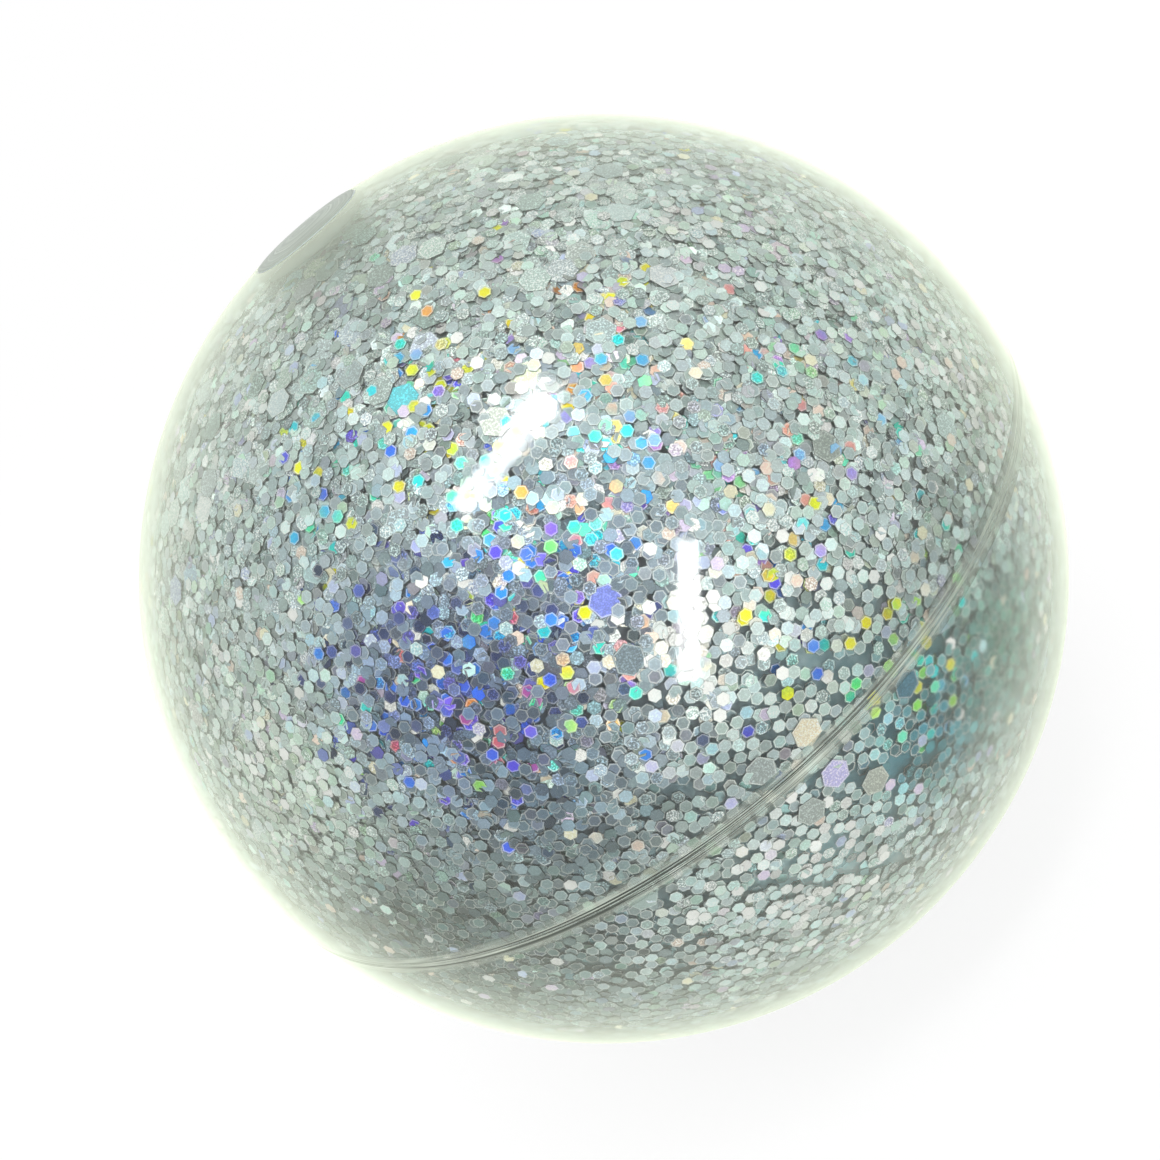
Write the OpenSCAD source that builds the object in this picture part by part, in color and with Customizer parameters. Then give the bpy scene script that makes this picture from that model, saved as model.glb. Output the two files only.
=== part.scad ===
// Clear glitter ball. Two moulded half shells are welded at the equator. A
// barbed plug closes the port that the ball is filled through. Inside is a
// liquid with hexagonal glitter flakes that lie along the wall.
// Millimetres. The origin is the ball's centre and +Z runs out through the plug.

/* [Ball] */
// Outside diameter of the ball
ball_d = 100; // [80:1:140]
// Thickness of the clear wall
wall_t = 6; // [5:0.1:8]

/* [Seam] */
// Thickness of the tongue on the blank half's rim
tongue_t = 1.6; // [1:0.1:2]
// Height of the tongue above the rim
tongue_h = 1.5; // [0.8:0.1:2.5]
// Gap round the tongue that the cement takes up
tongue_gap = 0.1; // [0.05:0.01:0.2]
// Width of the weld bead across the seam
bead_w = 2.6; // [1.6:0.1:3.2]
// Depth of the weld bead below the skin
bead_depth = 0.9; // [0.5:0.05:1.2]
// Height of the weld bead above the skin
bead_rise = 0.1; // [0.05:0.01:0.2]

/* [Fill port] */
// Diameter of the hole that the ball is filled through
port_d = 5; // [4:0.1:6]
// Diameter of the plug's head
head_d = 12.4; // [9:0.1:14]
// Depth of the plug's seat below the skin at the edge of the head
head_t = 4.2; // [3:0.1:4.6]
// Height of the head above the skin
head_rise = 0.1; // [0.05:0.05:0.4]
// Gap between the head and the wall of its seat
seat_gap = 0.1; // [0.05:0.01:0.2]
// Width of the cement ring round the head
ring_w = 0.6; // [0.4:0.05:1]
// Depth of the cement ring below the skin
ring_depth = 0.6; // [0.4:0.05:0.9]
// Gap between the plug's stem and the port
stem_gap = 0.25; // [0.15:0.05:0.4]
// Number of sealing ribs on the stem
ribs = 2; // [1:1:3]
// Gap between the tip of a sealing rib and the port
rib_gap = 0.05; // [0.02:0.01:0.1]
// Length of one sealing rib along the stem
rib_h = 0.6; // [0.4:0.05:0.7]
// Overhang of the barb past the edge of the port
barb_out = 0.9; // [0.5:0.05:1.5]
// Length of the barb inside the ball
barb_h = 2.2; // [1.5:0.1:3]
// Diameter of the barb's tip
barb_tip_d = 3.6; // [3:0.1:4]
// Gap between the barb's shoulder and the inner wall
barb_gap = 0.1; // [0.05:0.01:0.2]

/* [Glitter] */
// Number of fine flakes
fine_count = 720; // [100:10:1000]
// Size of a fine flake across its flats
fine_flats = 1.06; // [0.6:0.02:1.4]
// Largest tilt of a fine flake out of the wall's plane, in degrees
fine_tilt = 30; // [5:1:40]
// Number of chunky flakes
chunky_count = 120; // [20:10:200]
// Size of a chunky flake across its flats
chunky_flats = 2.4; // [1.6:0.1:3]
// Largest tilt of a chunky flake out of the wall's plane, in degrees
chunky_tilt = 12; // [2:1:20]
// Thickness of the film that the flakes are cut from
flake_t = 0.1; // [0.05:0.01:0.15]

/* [Filling] */
// Clearance between the flakes and the inner wall
wall_clear = 0.3; // [0.3:0.05:0.6]
// Gap between one layer of the filling and the next
layer_gap = 0.15; // [0.1:0.05:0.3]

/* [Hidden] */
$fn = 96;
// How far a cut runs past the face that it opens
overrun = 1;
ball_r = ball_d / 2;
inner_r = ball_r - wall_t;
// The tongue stands in the middle of the wall
tongue_r = (ball_r + inner_r - tongue_t) / 2;
// Where the edges of the weld bead meet the skin
bead_edge_r = sqrt(ball_r ^ 2 - (bead_w / 2) ^ 2);
// The bead's crown is an arc through both edges
crown_h = ball_r + bead_rise - bead_edge_r;
crown_r = (crown_h ^ 2 + (bead_w / 2) ^ 2) / (2 * crown_h);

head_r = head_d / 2;
seat_r = head_r + seat_gap;
head_edge_z = sqrt(ball_r ^ 2 - head_r ^ 2);
seat_z = head_edge_z - head_t;
// The cement ring fills a chamfer between the head and the skin
ring_r = seat_r + ring_w;
ring_edge_z = sqrt(ball_r ^ 2 - ring_r ^ 2);
seat_edge_z = sqrt(ball_r ^ 2 - seat_r ^ 2);
port_r = port_d / 2;
stem_r = port_r - stem_gap;
rib_r = port_r - rib_gap;
barb_r = port_r + barb_out;
// The rim of the barb's shoulder lies just under the inner wall
barb_z = sqrt(inner_r ^ 2 - barb_r ^ 2) - barb_gap;
// The stem starts inside the barb and ends inside the head
stem_z = barb_z - barb_h / 2;
// The inner wall is highest over the edge of the port
port_mouth_z = sqrt(inner_r ^ 2 - port_r ^ 2);
rib_pitch = (seat_z - port_mouth_z) / ribs;

// Distance from the middle of a flake to its corners
fine_corner = fine_flats / 2 / cos(30);
chunky_corner = chunky_flats / 2 / cos(30);
// Distance that a tilted flake reaches above and below the middle of its layer
fine_reach = fine_corner * sin(fine_tilt) + flake_t;
chunky_reach = chunky_corner * sin(chunky_tilt) + flake_t;
fine_r = inner_r - wall_clear - fine_reach;
chunky_r = fine_r - fine_reach - layer_gap - chunky_reach;
liquid_r = chunky_r - chunky_reach - layer_gap;
// The filling stays clear of the barb when it swirls round the axis
pocket_r = barb_r + wall_clear;
pocket_z = barb_z - barb_h - wall_clear;
// Turn from one flake of a spiral to the next
golden_turn = 180 * (3 - sqrt(5));
fine_seed = 11;
chunky_seed = 47;

// Hollow half of the ball above the seam plane
module half_shell() {
    intersection() {
        difference() {
            sphere(ball_r);
            sphere(inner_r);
        }
        cylinder(h = ball_r + overrun, r = ball_r + overrun);
    }
}

// Wedge that opens outwards from the bottom of the weld bead
module bead_wedge() {
    slope = (bead_w / 2) / (bead_edge_r - ball_r + bead_depth);
    wedge_l = bead_depth + overrun;
    rotate_extrude()
        polygon([
            [ball_r - bead_depth, 0],
            [ball_r - bead_depth + wedge_l, -slope * wedge_l],
            [ball_r - bead_depth + wedge_l, slope * wedge_l],
        ]);
}

// Band round the equator as deep as the tongue, widened by a gap
module tongue_band(gap, below) {
    rotate_extrude()
        translate([tongue_r - gap, -below])
            square([tongue_t + 2 * gap, below + tongue_h + gap]);
}

// Cone that opens the chamfer round the plug's seat
module ring_cone() {
    slope = ring_w / ring_depth;
    translate([0, 0, ring_edge_z - ring_depth])
        cylinder(h = ring_depth + overrun, r1 = seat_r, r2 = seat_r + slope * (ring_depth + overrun));
}

module plug_half_shell() {
    color("honeydew", 0.35)
        difference() {
            half_shell();
            tongue_band(tongue_gap, overrun);
            bead_wedge();
            translate([0, 0, inner_r - overrun])
                cylinder(h = wall_t + 2 * overrun, r = port_r);
            translate([0, 0, seat_z])
                cylinder(h = head_t + wall_t, r = seat_r);
            ring_cone();
        }
}

module blank_half_shell() {
    color("honeydew", 0.35)
        union() {
            difference() {
                mirror([0, 0, 1]) half_shell();
                bead_wedge();
            }
            tongue_band(0, tongue_t);
        }
}

module seam_weld() {
    color("ivory", 0.6)
        intersection() {
            bead_wedge();
            rotate_extrude()
                translate([ball_r + bead_rise - crown_r, 0])
                    circle(crown_r);
        }
}

// Ridge of the stem that seals against the port
module sealing_rib() {
    cylinder(h = rib_h / 2, r1 = stem_r, r2 = rib_r);
    translate([0, 0, rib_h / 2])
        cylinder(h = rib_h / 2, r1 = rib_r, r2 = stem_r);
}

module fill_plug() {
    color("gainsboro", 0.6) {
        intersection() {
            sphere(ball_r + head_rise);
            translate([0, 0, seat_z])
                cylinder(h = head_t + wall_t, r = head_r);
        }
        translate([0, 0, stem_z])
            cylinder(h = seat_z + head_t / 2 - stem_z, r = stem_r);
        for (i = [0 : ribs - 1])
            translate([0, 0, port_mouth_z + (i + 0.5) * rib_pitch - rib_h / 2])
                sealing_rib();
        translate([0, 0, barb_z - barb_h])
            cylinder(h = barb_h, r1 = barb_tip_d / 2, r2 = barb_r);
    }
}

module plug_cement_ring() {
    color("ivory", 0.6)
        rotate_extrude()
            polygon([
                [seat_r, ring_edge_z - ring_depth],
                [ring_r, ring_edge_z],
                [seat_r, seat_edge_z],
            ]);
}

module liquid() {
    color("lightslategray", 0.8)
        difference() {
            sphere(liquid_r);
            translate([0, 0, pocket_z])
                cylinder(h = barb_h + wall_t, r = pocket_r);
        }
}

// Six-sided flake, flat on its own middle plane
module flake(corner) {
    cylinder(h = flake_t, r = corner, center = true, $fn = 6);
}

// One layer of flakes on a spiral from pole to pole, each with its own tilt
module flake_layer(count, layer_r, corner, tilt_max, seed) {
    tilts = rands(-tilt_max, tilt_max, count, seed);
    leans = rands(0, 360, count, seed + 1);
    turns = rands(0, 60, count, seed + 2);
    for (i = [0 : count - 1]) {
        polar = acos(1 - (2 * i + 1) / count);
        // The flakes above the barb's pocket are left out
        if (polar > 90 || layer_r * sin(polar) > pocket_r + corner)
            rotate([0, polar, i * golden_turn])
                translate([0, 0, layer_r])
                    rotate([0, 0, leans[i]])
                        rotate([tilts[i], 0, turns[i]])
                            flake(corner);
    }
}

module fine_flakes() {
    color("silver")
        flake_layer(fine_count, fine_r, fine_corner, fine_tilt, fine_seed);
}

module chunky_flakes() {
    color("lightgray")
        flake_layer(chunky_count, chunky_r, chunky_corner, chunky_tilt, chunky_seed);
}

plug_half_shell();
blank_half_shell();
seam_weld();
fill_plug();
plug_cement_ring();
liquid();
fine_flakes();
chunky_flakes();
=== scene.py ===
import math

import bpy
import numpy as np
from mathutils import Matrix, Vector
from mathutils.kdtree import KDTree


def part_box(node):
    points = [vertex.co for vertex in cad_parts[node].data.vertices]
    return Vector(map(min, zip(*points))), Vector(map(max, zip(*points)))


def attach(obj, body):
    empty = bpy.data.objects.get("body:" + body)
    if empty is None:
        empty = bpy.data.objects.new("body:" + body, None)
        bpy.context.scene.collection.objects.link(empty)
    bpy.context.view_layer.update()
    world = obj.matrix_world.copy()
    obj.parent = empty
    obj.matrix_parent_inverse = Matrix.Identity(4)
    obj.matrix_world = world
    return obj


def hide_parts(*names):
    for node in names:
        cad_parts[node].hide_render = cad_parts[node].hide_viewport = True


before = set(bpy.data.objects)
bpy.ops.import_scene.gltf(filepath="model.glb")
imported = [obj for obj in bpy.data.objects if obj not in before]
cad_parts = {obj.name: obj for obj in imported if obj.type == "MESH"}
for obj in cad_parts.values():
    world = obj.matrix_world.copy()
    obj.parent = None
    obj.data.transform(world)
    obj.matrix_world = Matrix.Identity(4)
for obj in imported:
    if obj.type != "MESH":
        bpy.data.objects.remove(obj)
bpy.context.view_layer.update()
mm = 0.001
print("frame loaded:", len(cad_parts), "CAD nodes")


# Sizes that the frame gives, in metres
ballR = -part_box("blank_half_shell")[0].z
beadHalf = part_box("seam_weld")[1].z
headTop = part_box("fill_plug")[1].z
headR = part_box("fill_plug")[1].x
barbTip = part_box("fill_plug")[0].z
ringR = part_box("plug_cement_ring")[1].x
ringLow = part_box("plug_cement_ring")[0].z
liquidR = -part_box("liquid")[0].z
flakeTop = max(abs(v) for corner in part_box("fine_flakes") for v in corner)


def toLinear(part):  # sRGB shares from 0 to 1 to linear light
    part = np.asarray(part, float)
    return np.where(part <= 0.04045, part / 12.92, ((part + 0.055) / 1.055) ** 2.4)


def hexShares(code):
    return np.array([int(code[i:i + 2], 16) for i in (1, 3, 5)]) / 255


def hexColour(code):  # sRGB hex to linear colour
    return (*toLinear(hexShares(code)).tolist(), 1.0)


def grey(value):
    return (value, value, value, 1.0)


def addNode(tree, kind, inputs=None, **settings):  # an input is a value or another node's output
    node = tree.nodes.new(kind)
    for name, value in settings.items():
        setattr(node, name, value)
    for name, value in (inputs or {}).items():
        if isinstance(value, bpy.types.NodeSocket):
            tree.links.new(value, node.inputs[name])
        else:
            node.inputs[name].default_value = value
    return node


def newMaterial(name):
    material = bpy.data.materials.new(name)
    material.use_nodes = True
    material.node_tree.nodes.clear()
    tree = material.node_tree
    return material, tree, addNode(tree, "ShaderNodeOutputMaterial")


def setRamp(node, stops):  # stops are (place, linear colour)
    ramp = node.color_ramp
    while len(ramp.elements) < len(stops):
        ramp.elements.new(1.0)
    for element, (place, colour) in zip(ramp.elements, stops):
        element.position = place
        element.color = colour


# Camera at the photograph's viewing angle
cameraView = {
    "imageSide": 1160,  # pixels
    "ballCentre": (603.9, 578.5),  # pixel under the ball's centre
    "silhouette": 465.0,  # pixel radius of the outline
    "distance": 3.0,  # from the ball's centre, in ball radii
    "elevation": 25.9,  # degrees above the seam's plane
    "lean": 40.6,  # degrees that the plug's axis leans left of upright
    "sensor": 36.0,  # mm
    "clipStart": 0.005,  # metres
}
focalPixels = cameraView["silhouette"] * math.sqrt(cameraView["distance"] ** 2 - 1)
rise = math.radians(cameraView["elevation"])
lean = math.radians(cameraView["lean"])
viewBack = np.array([0.0, -math.cos(rise), math.sin(rise)])  # from the ball to the camera
levelRight = np.array([1.0, 0.0, 0.0])
levelUp = np.cross(viewBack, levelRight)
viewRight = math.cos(lean) * levelRight - math.sin(lean) * levelUp
viewUp = math.sin(lean) * levelRight + math.cos(lean) * levelUp
cameraPlace = viewBack * cameraView["distance"] * ballR
pixelsPerMetre = focalPixels / (cameraView["distance"] - 1) / ballR  # at the ball's nearest point
rubberIndex = 1.49  # how strongly the clear rubber and the liquid bend light


def makeCamera():
    data = bpy.data.cameras.new("photoCamera")
    data.sensor_width = cameraView["sensor"]
    data.lens = focalPixels / cameraView["imageSide"] * cameraView["sensor"]
    data.shift_x = 0.5 - cameraView["ballCentre"][0] / cameraView["imageSide"]
    data.shift_y = cameraView["ballCentre"][1] / cameraView["imageSide"] - 0.5
    data.clip_start = cameraView["clipStart"]
    camera = bpy.data.objects.new("photoCamera", data)
    turn = Matrix(np.column_stack([viewRight, viewUp, viewBack]).tolist())
    camera.matrix_world = Matrix.Translation(Vector(cameraPlace)) @ turn.to_4x4()
    bpy.context.scene.collection.objects.link(camera)
    bpy.context.scene.camera = camera


def pixelRay(x, y):  # direction from the camera through a pixel of the photograph
    across = x - cameraView["ballCentre"][0]
    down = y - cameraView["ballCentre"][1]
    ray = -viewBack * focalPixels + viewRight * across - viewUp * down
    return ray / np.linalg.norm(ray)


def pixelOnBall(x, y):  # point of the skin that shows at a pixel
    ray = pixelRay(x, y)
    along = -cameraPlace @ ray
    miss = cameraPlace @ cameraPlace - along ** 2
    return cameraPlace + ray * (along - math.sqrt(max(ballR ** 2 - miss, 0.0)))


def pixelOnGlitter(x, y):  # direction of the glitter that shows at a pixel, bent by the clear wall
    spot = pixelOnBall(x, y)
    normal = spot / ballR
    ray = pixelRay(x, y) / rubberIndex
    inside = ray - (ray @ normal + math.sqrt(max(1 - ray @ ray + (ray @ normal) ** 2, 0.0))) * normal
    along = -spot @ inside
    miss = spot @ spot - along ** 2
    hit = spot + inside * (along - math.sqrt(max(flakeTop ** 2 - miss, 0.0)))
    return hit / np.linalg.norm(hit)


def pixelMirror(x, y, reach):  # point that the skin mirrors at a pixel, at some reach from the ball
    spot = pixelOnBall(x, y)
    normal = spot / ballR
    ray = pixelRay(x, y)
    return spot + (ray - 2 * (ray @ normal) * normal) * reach


makeCamera()
print("camera placed")


scuffPixel = (1010, 645)  # middle of a patch of the skin that is scuffed
smoothPixel = (1008, 400)  # middle of a stretch of the weld without scores
milkyEdge = {  # sheen that turns the clear rubber milky where it is seen edge on
    "Sheen Weight": 1.0,
    "Sheen Roughness": 0.39,
    "Sheen Tint": hexColour("#F3FFE0"),
}


# Clear thermoplastic rubber, moulded: glass-like depth, a soft wobble in its gloss, a milky edge
def clearRubberMaterial():
    look = {
        "wobble": 2.5, "wobbleHeight": 0.02,  # mm
        "scuffReach": (5.1, 17.0),  # mm from the middle of the scuffed patch to where it fades and ends
        "scuffed": 0.2, "glossy": 0.07,  # roughness
    }
    material, tree, output = newMaterial("clear thermoplastic rubber, moulded")
    place = addNode(tree, "ShaderNodeTexCoord").outputs["Object"]
    wobble = addNode(tree, "ShaderNodeTexNoise", {
        "Vector": place, "Scale": 1 / (look["wobble"] * mm), "Detail": 4.5,
    })
    scuffMiddle = tuple(pixelOnBall(*scuffPixel))
    away = addNode(tree, "ShaderNodeVectorMath", {0: place, 1: scuffMiddle}, operation="DISTANCE")
    roughness = addNode(tree, "ShaderNodeMapRange", {
        "Value": away.outputs["Value"],
        "From Min": look["scuffReach"][0] * mm, "From Max": look["scuffReach"][1] * mm,
        "To Min": look["scuffed"], "To Max": look["glossy"],
    })
    bump = addNode(tree, "ShaderNodeBump", {
        "Height": wobble.outputs["Fac"], "Strength": 0.55, "Distance": look["wobbleHeight"] * mm,
    })
    skin = addNode(tree, "ShaderNodeBsdfPrincipled", {
        "Base Color": hexColour("#FAFDF7"),
        "Roughness": roughness.outputs[0],
        "IOR": rubberIndex,
        "Transmission Weight": 1.0,
        "Normal": bump.outputs["Normal"],
        **milkyEdge,
    })
    tree.links.new(skin.outputs["BSDF"], output.inputs["Surface"])
    return material


# Inner faces wetted by liquid or weld of the same index, so that nothing shows there
def wettedMaterial():
    material, tree, output = newMaterial("wetted inner face")
    clear = addNode(tree, "ShaderNodeBsdfTransparent")
    tree.links.new(clear.outputs["BSDF"], output.inputs["Surface"])
    return material


# Scraped weld: clear rubber with a beige veil that fades at its edges, crisp dark scores down the middle
def weldMaterial():
    look = {
        "dragLength": 40.0, "scoreWidth": 0.15, "dragHeight": 0.012,  # mm
        "hazeLength": 20 / 3, "hazeWidth": 0.25, "hazeShift": (3.0, 7.0, 0.0),  # mm
        "middle": (0.49, 0.91),  # mm either side of the seam between which the scores fade out
        "smoothReach": (16.0, 34.0),  # mm from the smooth stretch's middle between which they fade in
        "scoreBand": (0.495, 0.535), "scoreCover": 0.75,  # noise that makes a score, and how solid it is
        "hazeBand": (0.38, 0.68), "hazeCover": (0.12, 0.6),  # the same for the veil
        "veilEdge": 0.45,  # share of the bead's half width at which the veil begins to fade
    }
    material, tree, output = newMaterial("scraped rubber weld")
    seam = addNode(tree, "ShaderNodeUVMap", uv_map="alongSeam")
    height = addNode(tree, "ShaderNodeSeparateXYZ", {"Vector": seam.outputs["UV"]})
    fine = addNode(tree, "ShaderNodeMapping", {
        "Vector": seam.outputs["UV"], "Scale": (1 / look["dragLength"], 1 / look["scoreWidth"], 1.0),
    })
    scores = addNode(tree, "ShaderNodeTexNoise", {
        "Vector": fine.outputs["Vector"], "Scale": 1.0, "Detail": 1.0,
    })
    coarse = addNode(tree, "ShaderNodeMapping", {
        "Vector": seam.outputs["UV"], "Location": look["hazeShift"],
        "Scale": (1 / look["hazeLength"], 1 / look["hazeWidth"], 1.0),
    })
    drags = addNode(tree, "ShaderNodeTexNoise", {
        "Vector": coarse.outputs["Vector"], "Scale": 1.0, "Detail": 3.0,
    })
    away = addNode(tree, "ShaderNodeMath", {0: height.outputs["Y"]}, operation="ABSOLUTE")
    middle = addNode(tree, "ShaderNodeMapRange", {
        "Value": away.outputs[0], "From Min": look["middle"][0], "From Max": look["middle"][1],
        "To Min": 1.0, "To Max": 0.0,
    })
    dark = addNode(tree, "ShaderNodeMapRange", {
        "Value": scores.outputs["Fac"], "From Min": look["scoreBand"][0], "From Max": look["scoreBand"][1],
        "To Min": 0.0, "To Max": 1.0,
    })
    place = addNode(tree, "ShaderNodeTexCoord").outputs["Object"]
    smoothMiddle = tuple(pixelOnBall(*smoothPixel))
    along = addNode(tree, "ShaderNodeVectorMath", {0: place, 1: smoothMiddle}, operation="DISTANCE")
    scored = addNode(tree, "ShaderNodeMapRange", {
        "Value": along.outputs["Value"],
        "From Min": look["smoothReach"][0] * mm, "From Max": look["smoothReach"][1] * mm,
        "To Min": 0.0, "To Max": 1.0,
    })
    scoredMiddle = addNode(tree, "ShaderNodeMath", {
        0: scored.outputs[0], 1: middle.outputs[0],
    }, operation="MULTIPLY")
    darkShare = addNode(tree, "ShaderNodeMath", {
        0: dark.outputs[0], 1: scoredMiddle.outputs[0],
    }, operation="MULTIPLY")
    beige = addNode(tree, "ShaderNodeMix", {
        "Factor": scored.outputs[0], "A": hexColour("#8C9488"), "B": hexColour("#C2C9BC"),
    }, data_type="RGBA")
    colour = addNode(tree, "ShaderNodeMix", {
        "Factor": darkShare.outputs[0], "A": beige.outputs["Result"], "B": hexColour("#272E29"),
    }, data_type="RGBA")
    streaked = addNode(tree, "ShaderNodeMapRange", {
        "Value": drags.outputs["Fac"], "From Min": look["hazeBand"][0], "From Max": look["hazeBand"][1],
        "To Min": look["hazeCover"][0], "To Max": look["hazeCover"][1],
    })
    fade = addNode(tree, "ShaderNodeMapRange", {
        "Value": away.outputs[0], "From Min": look["veilEdge"] * beadHalf / mm, "From Max": beadHalf / mm,
        "To Min": 1.0, "To Max": 0.0,
    })
    veil = addNode(tree, "ShaderNodeMath", {0: streaked.outputs[0], 1: fade.outputs[0]}, operation="MULTIPLY")
    solid = addNode(tree, "ShaderNodeMath", {
        0: darkShare.outputs[0], 1: look["scoreCover"],
    }, operation="MULTIPLY")
    solidShare = addNode(tree, "ShaderNodeMath", {
        0: veil.outputs[0], 1: solid.outputs[0],
    }, operation="MAXIMUM")
    clear = addNode(tree, "ShaderNodeMath", {0: 1.0, 1: solidShare.outputs[0]}, operation="SUBTRACT")
    bump = addNode(tree, "ShaderNodeBump", {
        "Height": drags.outputs["Fac"], "Strength": 0.5, "Distance": look["dragHeight"] * mm,
    })
    skin = addNode(tree, "ShaderNodeBsdfPrincipled", {
        "Base Color": colour.outputs["Result"],
        "Roughness": 0.1,
        "IOR": rubberIndex,
        "Transmission Weight": clear.outputs[0],
        "Normal": bump.outputs["Normal"],
        **milkyEdge,
    })
    tree.links.new(skin.outputs["BSDF"], output.inputs["Surface"])
    return material


# Milky rubber, moulded: satin, half see-through grey-green with faint rings, a painted highlight as a pale
# edge under the face, and painted shade on the side sunk in its seat
def plugMaterial():
    look = {"ring": 0.55, "drift": 4.0, "wander": 1.2, "rimStart": 0.05, "sideStart": (0.5, 0.8)}  # mm
    material, tree, output = newMaterial("milky rubber plug")
    place = addNode(tree, "ShaderNodeTexCoord").outputs["Object"]
    apart = addNode(tree, "ShaderNodeSeparateXYZ", {"Vector": place})
    flat = addNode(tree, "ShaderNodeCombineXYZ", {"X": apart.outputs["X"], "Y": apart.outputs["Y"]})
    reach = addNode(tree, "ShaderNodeVectorMath", {0: flat.outputs[0]}, operation="LENGTH")
    drift = addNode(tree, "ShaderNodeTexNoise", {
        "Vector": place, "Scale": 1 / (look["drift"] * mm), "Detail": 1.0,
    })
    shifted = addNode(tree, "ShaderNodeMath", {
        0: drift.outputs["Fac"], 1: look["wander"] * mm, 2: reach.outputs["Value"],
    }, operation="MULTIPLY_ADD")
    rings = addNode(tree, "ShaderNodeTexNoise", {
        "W": shifted.outputs[0], "Scale": 1 / (look["ring"] * mm), "Detail": 2.0,
    }, noise_dimensions="1D")
    face = addNode(tree, "ShaderNodeValToRGB", {"Fac": rings.outputs["Fac"]})
    setRamp(face, [(0.38, hexColour("#A4B3A0")), (0.55, hexColour("#BBC9B6")), (0.68, hexColour("#DCE8D8"))])
    sideTop = math.sqrt(headTop ** 2 - headR ** 2)
    # painted highlight: a pale band just under the face's edge
    under = addNode(tree, "ShaderNodeMapRange", {
        "Value": apart.outputs["Z"], "From Min": sideTop - look["rimStart"] * mm, "From Max": sideTop,
        "To Min": 1.0, "To Max": 0.0,
    })
    rimmed = addNode(tree, "ShaderNodeMix", {
        "Factor": under.outputs[0], "A": face.outputs["Color"], "B": hexColour("#ECF6F3"),
    }, data_type="RGBA")
    # painted shade: the side, sunk in its seat, is given a darker grey-green
    aside = addNode(tree, "ShaderNodeMapRange", {
        "Value": apart.outputs["Z"],
        "From Min": sideTop - look["sideStart"][1] * mm, "From Max": sideTop - look["sideStart"][0] * mm,
        "To Min": 1.0, "To Max": 0.0,
    })
    shaded = addNode(tree, "ShaderNodeMix", {
        "Factor": aside.outputs[0], "A": rimmed.outputs["Result"], "B": hexColour("#9AAEA8"),
    }, data_type="RGBA")
    skin = addNode(tree, "ShaderNodeBsdfPrincipled", {
        "Base Color": shaded.outputs["Result"],
        "Roughness": 0.3,
        "IOR": rubberIndex,
        "Transmission Weight": 0.6,
    })
    tree.links.new(skin.outputs["BSDF"], output.inputs["Surface"])
    return material


# Depth of the liquid: soft pale and dim blots of flakes out of focus, tinted as the glitter over them,
# painted light and shade included
def depthMaterial():
    look = {"blot": 1.6}  # mm
    material, tree, output = newMaterial("liquid with glitter in its depth")
    place = addNode(tree, "ShaderNodeTexCoord").outputs["Object"]
    blots = addNode(tree, "ShaderNodeTexNoise", {
        "Vector": place, "Scale": 1 / (look["blot"] * mm), "Detail": 2.0,
    })
    ramp = addNode(tree, "ShaderNodeValToRGB", {"Fac": blots.outputs["Fac"]})
    setRamp(ramp, [(0.35, hexColour("#B6D2D6")), (0.65, hexColour("#E4F0EF"))])
    tint = addNode(tree, "ShaderNodeAttribute", attribute_name="depthTint")
    colour = addNode(tree, "ShaderNodeMix", {
        "Factor": 1.0, "A": ramp.outputs["Color"], "B": tint.outputs["Color"],
    }, data_type="RGBA", blend_type="MULTIPLY")
    skin = addNode(tree, "ShaderNodeBsdfPrincipled", {
        "Base Color": colour.outputs["Result"],
        "Roughness": 0.5,
    })
    tree.links.new(skin.outputs["BSDF"], output.inputs["Surface"])
    return material


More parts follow.
